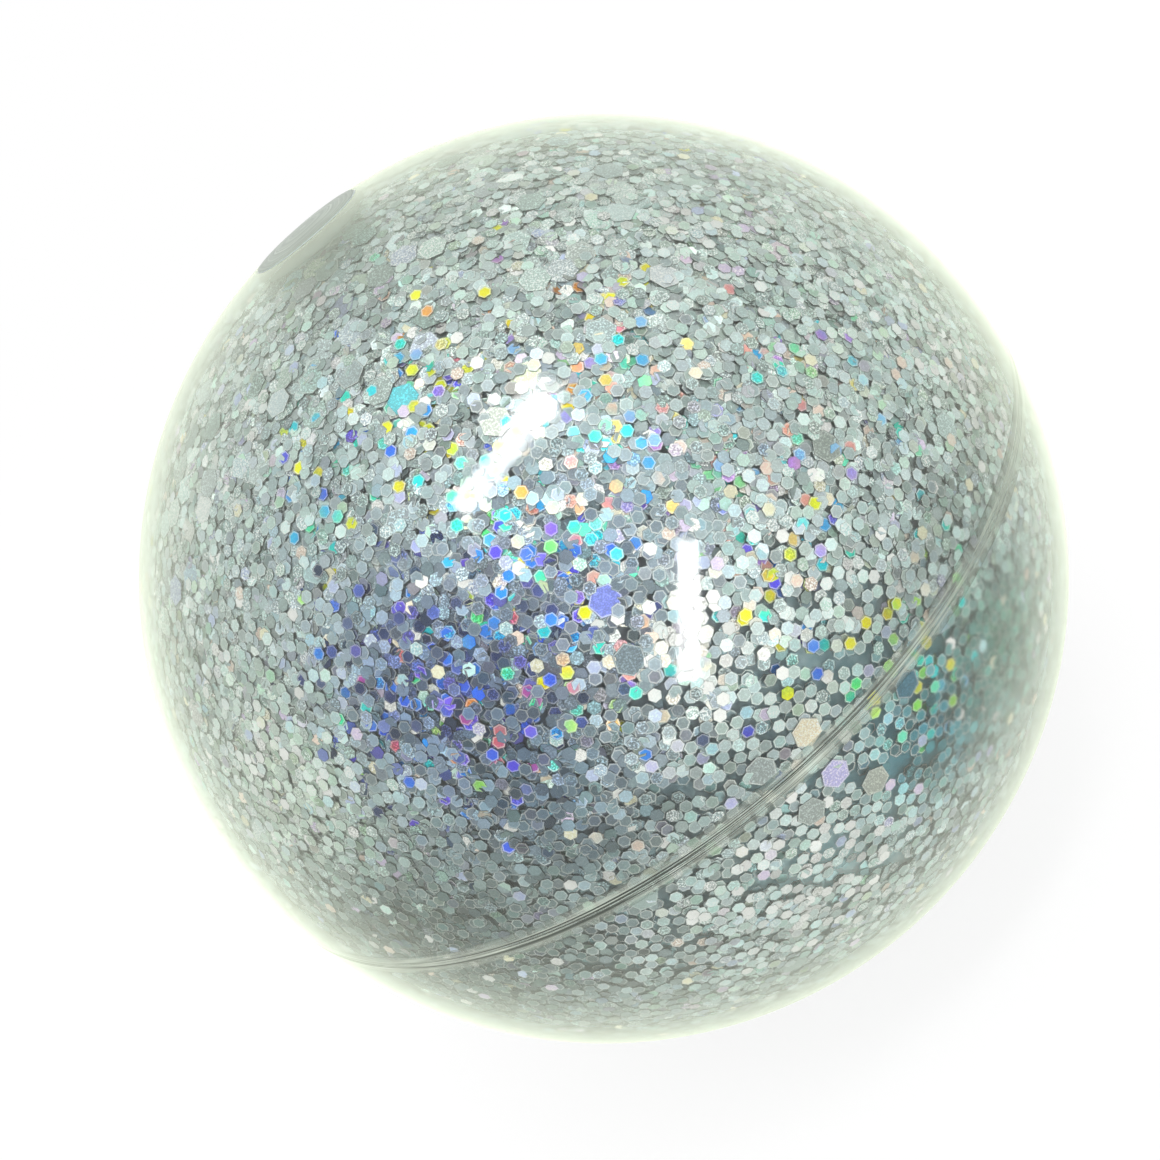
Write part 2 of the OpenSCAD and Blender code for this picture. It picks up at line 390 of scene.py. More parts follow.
# Holographic silver film, die cut: flat grey mirror, one grating colour to a flake, a bright line inside the
# cut as a painted highlight and a darkened cut as painted shade. Its creases are finer than the specks here,
# which are drawn coarse enough to show.
def filmMaterial():
    look = {"speck": 0.14}  # mm
    material, tree, output = newMaterial("holographic silver film")
    tint = addNode(tree, "ShaderNodeAttribute", attribute_name="flakeTint")
    inset = addNode(tree, "ShaderNodeAttribute", attribute_name="rimInset")
    glow = addNode(tree, "ShaderNodeAttribute", attribute_name="paintedRimHighlight")
    # painted highlight: a bright line just inside each flake's cut edge, as strong as the flake's rim glow
    line = addNode(tree, "ShaderNodeValToRGB", {"Fac": inset.outputs["Fac"]})
    setRamp(line, [(0.1, grey(0.0)), (0.16, grey(1.0)), (0.45, grey(1.0)), (0.7, grey(0.0))])
    lineShare = addNode(tree, "ShaderNodeMath", {
        0: line.outputs["Color"], 1: glow.outputs["Fac"],
    }, operation="MULTIPLY")
    # painted shade: the outermost sliver of each flake is darkened, standing in for the shadow lines between
    # overlapping flakes
    cut = addNode(tree, "ShaderNodeValToRGB", {"Fac": inset.outputs["Fac"]})
    setRamp(cut, [(0.0, grey(0.28)), (0.15, grey(1.0))])
    place = addNode(tree, "ShaderNodeTexCoord").outputs["Object"]
    specks = addNode(tree, "ShaderNodeTexNoise", {
        "Vector": place, "Scale": 1 / (look["speck"] * mm), "Detail": 1.0,
    })
    # specks stand for the film's creases; the brightest, above white, are painted glints
    speckRamp = addNode(tree, "ShaderNodeValToRGB", {"Fac": specks.outputs["Fac"]})
    setRamp(speckRamp, [(0.34, grey(0.4)), (0.54, grey(0.9)), (0.64, grey(2.6))])
    mottled = addNode(tree, "ShaderNodeMix", {
        "Factor": tint.outputs["Alpha"], "A": tint.outputs["Color"], "B": speckRamp.outputs["Color"],
    }, data_type="RGBA", blend_type="MULTIPLY")
    lined = addNode(tree, "ShaderNodeMix", {
        "Factor": lineShare.outputs[0], "A": mottled.outputs["Result"], "B": hexColour("#F4F8F6"),
    }, data_type="RGBA")
    colour = addNode(tree, "ShaderNodeMix", {
        "Factor": 1.0, "A": lined.outputs["Result"], "B": cut.outputs["Color"],
    }, data_type="RGBA", blend_type="MULTIPLY")
    skin = addNode(tree, "ShaderNodeBsdfPrincipled", {
        "Base Color": colour.outputs["Result"],
        "Metallic": 1.0,
        "Roughness": 0.48,
    })
    tree.links.new(skin.outputs["BSDF"], output.inputs["Surface"])
    return material


clearRubber = clearRubberMaterial()
wetted = wettedMaterial()
weldRubber = weldMaterial()
plugRubber = plugMaterial()
liquidDepth = depthMaterial()
silverFilm = filmMaterial()
print("materials made")


def triangleMesh(name, places, corners, materials, slots=None):
    mesh = bpy.data.meshes.new(name)
    mesh.vertices.add(len(places))
    mesh.vertices.foreach_set("co", np.asarray(places, np.float32).ravel())
    mesh.loops.add(corners.size)
    mesh.loops.foreach_set("vertex_index", corners.ravel().astype(np.int32))
    mesh.polygons.add(len(corners))
    mesh.polygons.foreach_set("loop_start", np.arange(0, corners.size, 3, dtype=np.int32))
    for material in materials:
        mesh.materials.append(material)
    if slots is not None:
        mesh.polygons.foreach_set("material_index", slots.astype(np.int32))
    mesh.polygons.foreach_set("use_smooth", np.zeros(len(corners), bool))
    mesh.update(calc_edges=True)
    piece = bpy.data.objects.new(name, mesh)
    bpy.context.scene.collection.objects.link(piece)
    return piece


# A profile of (radius, height) points is carried round the plug's axis. Points on the axis become one pole.
def revolve(name, profile, turns, materials, slots, closed=True, sharp=35):
    profile = np.asarray(profile, float)
    count = len(profile)
    angle = np.arange(turns) * 2 * np.pi / turns
    places = np.stack([
        profile[:, :1] * np.cos(angle), profile[:, :1] * np.sin(angle), np.repeat(profile[:, 1:], turns, 1),
    ], -1).reshape(-1, 3)
    index = np.arange(count * turns).reshape(count, turns)
    onAxis = profile[:, 0] < 1e-9
    index[onAxis] = index[onAxis][:, :1]
    rows = np.arange(count if closed else count - 1)
    low = index[rows]
    high = index[(rows + 1) % count]
    lowNext = np.roll(low, -1, 1)
    highNext = np.roll(high, -1, 1)
    corners = np.stack([np.stack([low, lowNext, highNext], -1), np.stack([low, highNext, high], -1)], 2)
    corners = corners.reshape(-1, 3)
    faceSlots = np.repeat(np.asarray(slots)[rows], turns * 2)
    whole = (corners != np.roll(corners, 1, 1)).all(1)  # at a pole every second triangle is empty
    corners = corners[whole]
    faceSlots = faceSlots[whole]
    used, packed = np.unique(corners, return_inverse=True)
    places = places[used]
    corners = packed.reshape(-1, 3)
    a, b, c = (places[corners[:, k]] for k in range(3))
    if np.einsum("ij,ij->i", a, np.cross(b, c)).sum() < 0:  # signed volume: faces have to point outwards
        corners = corners[:, ::-1].copy()
    piece = triangleMesh(name, places, corners, materials, faceSlots)
    piece.data.polygons.foreach_set("use_smooth", np.ones(len(corners), bool))
    piece.data.set_sharp_from_angle(angle=math.radians(sharp))
    return piece


def arc(radius, start, end, steps):  # (radius, height) along a circle round the origin, degrees from the axis
    angle = np.radians(np.linspace(start, end, steps))
    return np.column_stack([radius * np.sin(angle), radius * np.cos(angle)])


def polar(reach, radius):  # degrees from the axis at which a sphere of some radius is reach wide
    return math.degrees(math.asin(reach / radius))


def joinProfile(*runs):  # runs of (points, material slot); each segment takes the slot of its first point
    points = np.concatenate([run for run, slot in runs])
    slots = np.concatenate([np.full(len(run), slot) for run, slot in runs])
    return points, slots


shell = {
    "wall": 6.0 * mm, "port": 2.5 * mm, "beadDepth": 0.9 * mm, "seatGap": 0.1 * mm, "seatDepth": 4.2 * mm,
    "turns": 288, "skinSteps": 110, "innerSteps": 45,
}
innerR = ballR - shell["wall"]
seatR = headR + shell["seatGap"]
seatZ = math.sqrt(ballR ** 2 - headR ** 2) - shell["seatDepth"]


# Each half is a profile: the skin's arc, the seat and port or the pole, the inner arc and the seam's rim
def makeHalfShells():
    beadEdge = 90 - polar(beadHalf, ballR)
    rim = [(innerR, 0.0), (ballR - shell["beadDepth"], 0.0)]
    upper, upperSlots = joinProfile(
        (arc(ballR, beadEdge, polar(ringR, ballR), shell["skinSteps"]), 0),
        (np.array([(seatR, ringLow), (seatR, seatZ), (shell["port"], seatZ)]), 1),
        (arc(innerR, polar(shell["port"], innerR), 90, shell["innerSteps"])[:-1], 1),
        (np.array(rim), 1),
    )
    upperSlots[shell["skinSteps"] - 1] = 1
    plugHalf = revolve("plugHalfShell", upper, shell["turns"], [clearRubber, wetted], upperSlots)
    lower, lowerSlots = joinProfile(
        (arc(ballR, 180, 180 - beadEdge, shell["skinSteps"]), 0),
        (np.array(rim[::-1]), 1),
        (arc(innerR, 90, 180, shell["innerSteps"])[1:], 1),
    )
    lowerSlots[shell["skinSteps"] - 1] = 1
    blankHalf = revolve(
        "blankHalfShell", lower, shell["turns"], [clearRubber, wetted], lowerSlots, closed=False,
    )
    for piece, node in ((plugHalf, "plug_half_shell"), (blankHalf, "blank_half_shell")):
        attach(piece, "shell")
        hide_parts(node)


makeHalfShells()
print("half shells made")


weld = {
    "turns": 360, "steps": 97, "rise": 0.03 * mm,
    "scores": [  # place, width and depth in mm
        (0.36, 0.06, 0.012), (0.14, 0.05, 0.02), (0.0, 0.06, 0.02), (-0.13, 0.05, 0.02), (-0.32, 0.07, 0.015),
    ],
}


def seamUv(piece):  # a map in mm: way round the seam, height across it
    mesh = piece.data
    layer = mesh.uv_layers.new(name="alongSeam")
    corner = np.zeros(len(mesh.loops), np.int32)
    mesh.loops.foreach_get("vertex_index", corner)
    place = np.zeros(len(mesh.vertices) * 3, np.float32)
    mesh.vertices.foreach_get("co", place)
    place = place.reshape(-1, 3)[corner].reshape(-1, 3, 3)
    turn = np.arctan2(place[..., 1], place[..., 0])
    turn = np.where(turn.max(1, keepdims=True) - turn > np.pi, turn + 2 * np.pi, turn)
    way = turn * np.hypot(place[..., 0], place[..., 1]).max()
    layer.data.foreach_set("uv", (np.stack([way, place[..., 2]], -1) / mm).astype(np.float32).ravel())


# Crown of the bead: a parabola between the two skin edges, with bell-shaped scores sunk along it
def makeWeld():
    across = np.linspace(-1, 1, weld["steps"])
    edgeR = math.sqrt(ballR ** 2 - beadHalf ** 2)
    crown = edgeR + (weld["rise"] + ballR - edgeR) * (1 - across ** 2)
    for place, width, depth in weld["scores"]:
        crown -= depth * mm * np.exp(-((across * beadHalf / mm - place) / width) ** 2)
    profile, slots = joinProfile(
        (np.column_stack([crown, across * beadHalf]), 0),
        (np.array([(ballR - shell["beadDepth"], 0.0)]), 1),
    )
    slots[weld["steps"] - 1] = 1
    piece = revolve("seamWeld", profile, weld["turns"], [weldRubber, wetted], slots, sharp=60)
    seamUv(piece)
    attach(piece, "shell")
    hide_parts("seam_weld")


makeWeld()
print("seam weld made")


plug = {
    "stem": 2.25 * mm, "barb": 3.4 * mm, "tip": 1.8 * mm, "barbLength": 2.2 * mm, "edge": 0.12 * mm,
    "clear": 0.3 * mm,  # room that the filling leaves round the barb
    "turns": 120, "headSteps": 24,
}


# Plug: the profile runs down the domed face, over an eased edge, and along the side, seat, stem and barb
def makePlug():
    barbTop = barbTip + plug["barbLength"]
    sideTop = math.sqrt(headTop ** 2 - headR ** 2) - plug["edge"]
    profile, slots = joinProfile(
        (arc(headTop, 0, polar(headR - plug["edge"], headTop), plug["headSteps"]), 0),
        (np.array([
            (headR, sideTop), (headR, seatZ), (plug["stem"], seatZ), (plug["stem"], barbTop),
            (plug["barb"], barbTop), (plug["tip"], barbTip), (0.0, barbTip),
        ]), 0),
    )
    piece = revolve("fillPlug", profile, plug["turns"], [plugRubber], slots, closed=False)
    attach(piece, "shell")
    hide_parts("fill_plug")


# Cement ring: a triangle between the plug's side, the chamfer and the skin
def makeCementRing():
    seatEdge = math.sqrt(ballR ** 2 - seatR ** 2)
    ringEdge = math.sqrt(ballR ** 2 - ringR ** 2)
    profile = np.array([(headR, ringLow), (ringR, ringEdge), (headR, seatEdge)])
    slots = np.array([1, 0, 1])
    ring = revolve("plugCementRing", profile, plug["turns"], [weldRubber, wetted], slots)
    seamUv(ring)
    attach(ring, "shell")
    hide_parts("plug_cement_ring")


makePlug()
makeCementRing()
print("plug and cement ring made")


# Where the picture shows the flakes apart, dusky or vivid: a pixel, a spread in pixels and what changes there
sparseZones = [
    {"pixel": (850, 760), "spread": 250},
    {"pixel": (640, 940), "spread": 110},
]
chunkyZones = [
    {"pixel": (350, 310), "spread": 170},
    {"pixel": (560, 210), "spread": 150},
]
sparkleZones = chunkyZones + [{"pixel": (480, 620), "spread": 150}]
# dusk patch, part of the painted reflection of the dark camera: the rims' painted highlight is weaker there
duskZone = {"pixel": (450, 670), "spread": 130}
toneAndPaintedLightZones = [  # a tone dims or lifts red, green and blue, and rough is how much that varies; some tones are painted light, painted shade and a painted reflection, as marked
    {"pixel": (580, 180), "spread": 270, "tone": (1.18, 1.17, 1.15), "rough": 0.03},  # pale crown, painted light falling from above
    {"pixel": (545, 375), "spread": 110, "tone": (0.90, 0.90, 0.91), "rough": 0.03},  # dim under the crown
    {"pixel": (865, 275), "spread": 170, "tone": (1.15, 1.15, 1.13), "rough": 0.0, "once": True},  # shoulder, painted light towards the rim
    {"pixel": (985, 385), "spread": 105, "tone": (1.30, 1.30, 1.25), "rough": 0.0, "once": True},  # right rim, painted light
    {"pixel": (800, 603), "spread": 125, "tone": (1.16, 1.16, 1.16), "rough": 0.05},  # by the upright streak, painted glints of its lamp
    {"pixel": (285, 530), "spread": 130, "tone": (0.94, 0.955, 0.975), "rough": 0.04},  # cool left side
    {"pixel": (295, 795), "spread": 115, "tone": (1.26, 1.24, 1.17), "rough": 0.0, "once": True},  # left rim, painted light
    {"pixel": (832, 880), "spread": 130, "tone": (1.34, 1.34, 1.32), "rough": 0.05, "once": True},  # low rim, painted light
    {"pixel": (510, 650), "spread": 170, "tone": (0.87, 0.86, 0.90), "rough": 0.12},  # round the dusk patch, painted reflection of the dark camera
    {"pixel": (425, 690), "spread": 110, "tone": (0.70, 0.76, 0.91), "rough": 0.24},  # dusk patch, painted reflection of the dark camera
    {"pixel": (545, 795), "spread": 105, "tone": (0.65, 0.71, 0.78), "rough": 0.15},  # its foot by the seam, the same painted reflection
    {"pixel": (588, 555), "spread": 120, "tone": (0.73, 0.76, 0.83), "rough": 0.14},  # between the streaks, painted reflection of the dark camera
    {"pixel": (938, 724), "spread": 80, "tone": (0.26, 0.67, 0.77), "rough": 0.13},  # teal patch
    {"pixel": (1003, 648), "spread": 92, "tone": (0.45, 0.71, 0.63), "rough": 0.08},  # green patch above it
    {"pixel": (462, 960), "spread": 150, "tone": (0.55, 0.60, 0.60), "rough": 0.06},  # dim foot of the ball, painted shade with light falling from above
]
hues = {
    "sunny": ("#FFFB18", "#FFF31C", "#F0FB30", "#FFE834"),
    "sea": ("#30ECF2", "#3DF0D8", "#3CB8FF", "#76F5D0", "#35E2F8"),
    "deep": ("#3F6EFF", "#6257F5", "#8468F8", "#2E98FF", "#3C84FC"),
    "warm": ("#FFA848", "#F9A898", "#F58FA8", "#FFCB9A"),
    "leaf": ("#5CEB74", "#A0F45C", "#4CE89E", "#C2F87E"),
    "ember": ("#E8707A", "#E26A78", "#F59C4C", "#C65BB0"),
    "light": (
        "#86E9BC", "#A99DF6", "#8CC6FF", "#FFB2A4", "#FFE486", "#FFDCC8", "#7CEAF2", "#C492F2", "#A4F2AC",
    ),
    "dusk": ("#5A6FC4", "#4A5690", "#6A68C0", "#36426E", "#8090CC", "#4A6078", "#3C4760", "#5B6A8E"),
    "pale": ("#F7E4D8", "#E3D6F2", "#CBD8F7", "#D6F2EA", "#F5F1D6", "#FFFFFF", "#FFFFFF"),
    "soft": ("#B9E4F4", "#C3D0F8", "#C9C8F4", "#F0E4CC", "#BDEEE2", "#BFE9F0"),
    "bright": ("#FFFFFF", "#FCFCF2", "#F2FAFA", "#FFF6EA"),
}
# The grating hues are the film's own colours, but where they gather, in arcs round the streaks where the film
# splits
# the lamps' light, they are painted glints.
vividZones = [  # share of the flakes that take a hue of these families; one named twice is twice as likely
    {"pixel": (560, 560), "spread": 220, "share": 0.11, "hues": ("soft", "bright")},
    {"pixel": (850, 700), "spread": 150, "share": 0.08, "hues": ("soft", "bright", "bright")},
    # painted glints: white flakes by the upright streak
    {"pixel": (695, 640), "spread": 60, "share": 0.52, "hues": ("bright",)},
    # painted glints: white flakes at the top of the slanted streak
    {"pixel": (535, 395), "spread": 45, "share": 0.40, "hues": ("bright", "bright", "pale")},
    # dusk hues: partly the flakes' own dusky colours, partly the painted reflection of the dark camera
    {"pixel": (425, 680), "spread": 110, "share": 0.40, "hues": ("dusk",)},
    {"pixel": (540, 650), "spread": 60, "share": 0.25, "hues": ("dusk",)},
    {"pixel": (423, 384), "spread": 42, "share": 0.45, "hues": ("sunny", "sea", "deep", "sunny")},
    {"pixel": (470, 520), "spread": 60, "share": 0.37,
     "hues": ("sea", "sea", "sea", "deep", "sunny", "pale")},
    {"pixel": (575, 545), "spread": 66, "share": 0.34,
     "hues": ("sea", "sea", "sea", "deep", "deep", "sunny", "leaf", "warm")},
    {"pixel": (640, 460), "spread": 75, "share": 0.23, "hues": ("sea", "light", "light", "pale")},
    {"pixel": (600, 380), "spread": 80, "share": 0.17, "hues": ("sea", "sunny", "light", "light")},
    {"pixel": (470, 690), "spread": 105, "share": 0.31,
     "hues": ("deep", "deep", "deep", "deep", "sea", "leaf", "ember")},
    {"pixel": (600, 660), "spread": 60, "share": 0.18, "hues": ("sea", "sunny", "deep", "warm")},
    {"pixel": (798, 580), "spread": 48, "share": 0.40, "hues": ("sunny", "sunny", "sea", "deep")},
    {"pixel": (795, 660), "spread": 48, "share": 0.36, "hues": ("sunny", "sunny", "sea", "deep", "pale")},
    {"pixel": (925, 665), "spread": 75, "share": 0.38, "hues": ("sea", "sea", "leaf", "leaf", "sunny")},
    {"pixel": (330, 450), "spread": 80, "share": 0.12, "hues": ("sea", "deep", "sunny")},
    {"pixel": (500, 300), "spread": 120, "share": 0.10, "hues": ("warm", "sunny", "pale", "light")},
    {"pixel": (780, 440), "spread": 120, "share": 0.20, "hues": ("light", "light", "light", "pale", "sea")},
]
markedPlates = [  # chunky flakes that stand out in the picture
    {"pixel": (402, 398), "hue": "#62BCC8"},
    # the next three plates lie in the slanted streak: their pale hues are painted highlight
    {"pixel": (525, 376), "hue": "#E9F3D4"},
    {"pixel": (541, 408), "hue": "#FFFFFF"},
    {"pixel": (495, 421), "hue": "#DDE4DC"},
    {"pixel": (605, 601), "hue": "#7C88D8"},
    {"pixel": (808, 733), "hue": "#FFF2D8"},
    {"pixel": (836, 774), "hue": "#CFC9FA"},
    {"pixel": (876, 781), "hue": "#BCC1B9"},
    {"pixel": (762, 772), "hue": "#B0BABB"},
    {"pixel": (812, 812), "hue": "#B2BBB9"},
    {"pixel": (907, 684), "hue": "#4C7C92"},
    {"pixel": (827, 446), "hue": "#A7B1AC"},
]
zoneTurns = (0.0, 120.0, 240.0)  # degrees round the plug's axis, so that every side has its zones


def unit(vectors):
    return vectors / np.linalg.norm(vectors, axis=-1, keepdims=True)


def zoneWeight(ways, zone):  # 1 in the middle of a zone, falling off as a bell with distance
    middle = pixelOnGlitter(*zone["pixel"])
    width = zone["spread"] / pixelsPerMetre / flakeTop
    weight = np.zeros(len(ways))
    for turn in np.radians(zoneTurns[:1] if zone.get("once") else zoneTurns):
        turned = np.array([
            middle[0] * math.cos(turn) - middle[1] * math.sin(turn),
            middle[0] * math.sin(turn) + middle[1] * math.cos(turn),
            middle[2],
        ])
        angle = np.arccos(np.clip(ways @ turned, -1, 1))
        weight = np.maximum(weight, np.exp(-(angle / width) ** 2))
    return weight


def zonesWeight(ways, zones):
    return np.max([zoneWeight(ways, zone) for zone in zones], 0)


def zoneToneAndPaintedLight(ways):  # product of every zone's tone, painted light and shade included, at some directions
    tone = np.ones((len(ways), 3))
    for zone in toneAndPaintedLightZones:
        tone *= 1 + zoneWeight(ways, zone)[:, None] * (np.array(zone["tone"]) - 1)
    return tone


liquid = {
    "turns": 192, "steps": 96,
    "tintPower": 2.5,  # how much stronger than the glitter's the tones, painted light and shade among them, are in the depth
    "bare": (0.55, 0.40, 0.33),  # red, green and blue lost where the flakes lie apart
}


# The liquid's depth: a ball whose pole is flattened under the plug's barb, tinted by the zones of tone,
# painted light and shade among them
def makeLiquid():
    profile = arc(liquidR, 0, 180, liquid["steps"])
    profile[:, 1] = np.minimum(profile[:, 1], barbTip - plug["clear"])
    profile[[0, -1], 0] = 0.0
    slots = np.zeros(len(profile), int)
    piece = revolve("liquidDepth", profile, liquid["turns"], [liquidDepth], slots, closed=False)
    places = np.zeros(len(piece.data.vertices) * 3, np.float32)
    piece.data.vertices.foreach_get("co", places)
    ways = unit(places.reshape(-1, 3).astype(float))
    bare = 1 - zonesWeight(ways, sparseZones)[:, None] * liquid["bare"]
    shade = zoneToneAndPaintedLight(ways) ** liquid["tintPower"] * bare
    layer = piece.data.attributes.new("depthTint", "FLOAT_COLOR", "POINT")
    layer.data.foreach_set("color", np.column_stack([shade, np.ones(len(shade))]).astype(np.float32).ravel())
    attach(piece, "filling")
    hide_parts("liquid")


makeLiquid()
print("liquid made")


fineGlitter = {
    "flats": 1.06 * mm, "thickness": 0.06 * mm, "tilt": 7.0, "pieces": 10, "seed": 5,
    # depth is in mm under the wall: flakes side by side on it, ones over them as scales, ones further in
    "wall": {"count": 17000, "shake": 0.3, "passes": 6, "depth": (0.03, 0.30)},
    "scales": {"count": 50000, "shake": 0.6, "passes": 1, "depth": (0.0, 0.34)},
    "deep": {"count": 14000, "shake": 0.6, "passes": 1, "depth": (0.38, 0.9)},
    "scaleThinning": 1.15, "deepShare": 0.85, "deepThinning": 0.35,  # where the flakes lie apart
    "gapEvery": 8, "gapFrom": 0.45,  # there, every eighth flake is left out as well
    "markRoom": 0.36,  # clearing round a marked plate, in its flats
    "topShade": 1.16, "deepShade": 0.66, "shadeDepth": 0.34 * mm,  # painted shade: flakes that lie deeper are dimmer
    "murkAndShade": (0.28, 0.18, 0.16), "dimming": 0.06,  # red, green and blue lost by the ones further in, partly the liquid's teal murk and partly painted shade
}
chunkyGlitter = {
    "flats": 2.4 * mm, "thickness": 0.08 * mm, "tilt": 4.0, "spin": 1.05, "seed": 9,
    "plates": {"count": 2600, "shake": 0.6, "passes": 1, "depth": (0.0, 0.2)},
    "strayShare": 0.03, "zoneShare": 0.97,
    "under": 0.13 * mm,  # how far the fine flakes sink in the chunky zones
    "mottleShare": 0.6, "mottle": 0.7, "markedMottle": 0.3,
}
film = {  # how the film varies from flake to flake
    "value": 0.76, "valueSpread": 0.05, "valueRange": (0.5, 0.98),  # sRGB grey
    "apartValue": 0.035, "apartSpread": 0.055,  # added where the flakes lie apart
    "cast": (0.934, 1.018, 1.022), "castSpread": 0.012,
    "oddShare": 0.2, "oddSpread": 0.035,  # flakes with a cast of their own
    "paleShare": 0.05, "greyDrift": 0.03, "hueDrift": 0.25,  # drift parts the two tints of one flake
    "mottleShare": 0.25, "mottle": (0.2, 0.8), "plainMottle": 0.1, "apartCalm": 0.4, "sparkle": 1.4,  # specks
    # painted highlight along each flake's rim: share of flakes, strength, less in the dusk patch, more on
    # vivid flakes and ones apart
    "glowShare": 0.75, "glow": (0.15, 0.55), "duskRim": 0.5, "flashShare": 0.2, "flashGlow": 0.22,
    "closeTilt": 1.3, "apartLess": 0.7,  # flakes that lie apart lie flatter
    "rimReach": 0.2 * mm,  # distance over which the cut rim, with its painted shade and painted highlight, shows
}
spacing = {"neighbours": 4, "reach": 0.95, "push": 0.4}


def spiral(count):  # evenly spread directions: equal steps in height, a golden turn between neighbours
    step = np.arange(count)
    height = 1 - (2 * step + 1) / count
    turn = step * math.pi * (3 - math.sqrt(5))
    flat = np.sqrt(1 - height ** 2)
    return np.column_stack([flat * np.cos(turn), flat * np.sin(turn), height])


def scatter(layer, rng):  # shaken spiral whose close pairs push each other apart
    count = layer["count"]
    gap = math.sqrt(4 * math.pi / count)
    ways = unit(spiral(count) + rng.normal(0, layer["shake"] * gap, (count, 3)))
    for _ in range(layer["passes"]):
        tree = KDTree(count)
        for i, way in enumerate(ways):
            tree.insert(way, i)
        tree.balance()
        near = np.array([[hit[1] for hit in tree.find_n(way, spacing["neighbours"] + 1)[1:]] for way in ways])
        apart = ways[:, None] - ways[near]
        reach = np.linalg.norm(apart, axis=-1, keepdims=True)
        lack = np.clip(gap * spacing["reach"] - reach, 0, None)
        ways = unit(ways + (apart / reach * lack).sum(1) * spacing["push"])
    return ways


# Hexagonal plates: a centre and six corners above, six below, turned to each flake's own axes
def flakes(name, middle, outward, spin, flats, thickness, tint):
    sides = 6
    points = 1 + 2 * sides
    count = len(middle)
    helper = np.where(np.abs(outward[:, 2:]) < 0.9, [[0.0, 0.0, 1.0]], [[1.0, 0.0, 0.0]])
    first = unit(np.cross(helper, outward))
    second = np.cross(outward, first)
    angle = spin[:, None] + np.arange(sides) * math.pi / 3
    radius = flats / math.sqrt(3)
    ring = radius * (np.cos(angle)[..., None] * first[:, None] + np.sin(angle)[..., None] * second[:, None])
    half = outward[:, None] * thickness / 2
    centre = middle[:, None]
    places = np.concatenate([centre + half, centre + ring + half, centre + ring - half], 1)
    upper = 1 + np.arange(sides)
    upperNext = 1 + (np.arange(sides) + 1) % sides
    lower = upper + sides
    lowerNext = upperNext + sides
    fan = np.arange(sides - 2)
    pattern = np.concatenate([
        np.column_stack([np.zeros(sides, int), upper, upperNext]),
        np.column_stack([upper, lower, lowerNext]),
        np.column_stack([upper, lowerNext, upperNext]),
        np.column_stack([np.full(sides - 2, lower[0]), lower[-1] - fan, lower[-1] - 1 - fan]),
    ])
    corners = (pattern[None] + np.arange(count)[:, None, None] * points).reshape(-1, 3)
    piece = triangleMesh(name, places.reshape(-1, 3), corners, [silverFilm])
    turn = np.cos(angle - tint["drift"][:, None])  # how far each corner lies towards the flake's second hue
    share = np.concatenate([np.zeros((count, 1)), turn, turn], 1)[..., None] * 0.5 + 0.5
    shades = tint["first"][:, None] * (1 - share) + tint["second"][:, None] * share
    mottle = np.broadcast_to(tint["mottle"][:, None, None], (count, points, 1))
    inset = np.r_[flats / 2 / film["rimReach"], np.zeros(2 * sides)]  # distance in from the cut rim
    for title, kind, values in (
        ("flakeTint", "FLOAT_COLOR", np.concatenate([shades, mottle], -1)),
        ("rimInset", "FLOAT", np.tile(inset, count)),
        ("paintedRimHighlight", "FLOAT", np.repeat(tint["glow"], points)),
    ):
        layer = piece.data.attributes.new(title, kind, "POINT")
        field = "color" if kind == "FLOAT_COLOR" else "value"
        layer.data.foreach_set(field, values.astype(np.float32).ravel())
    return piece


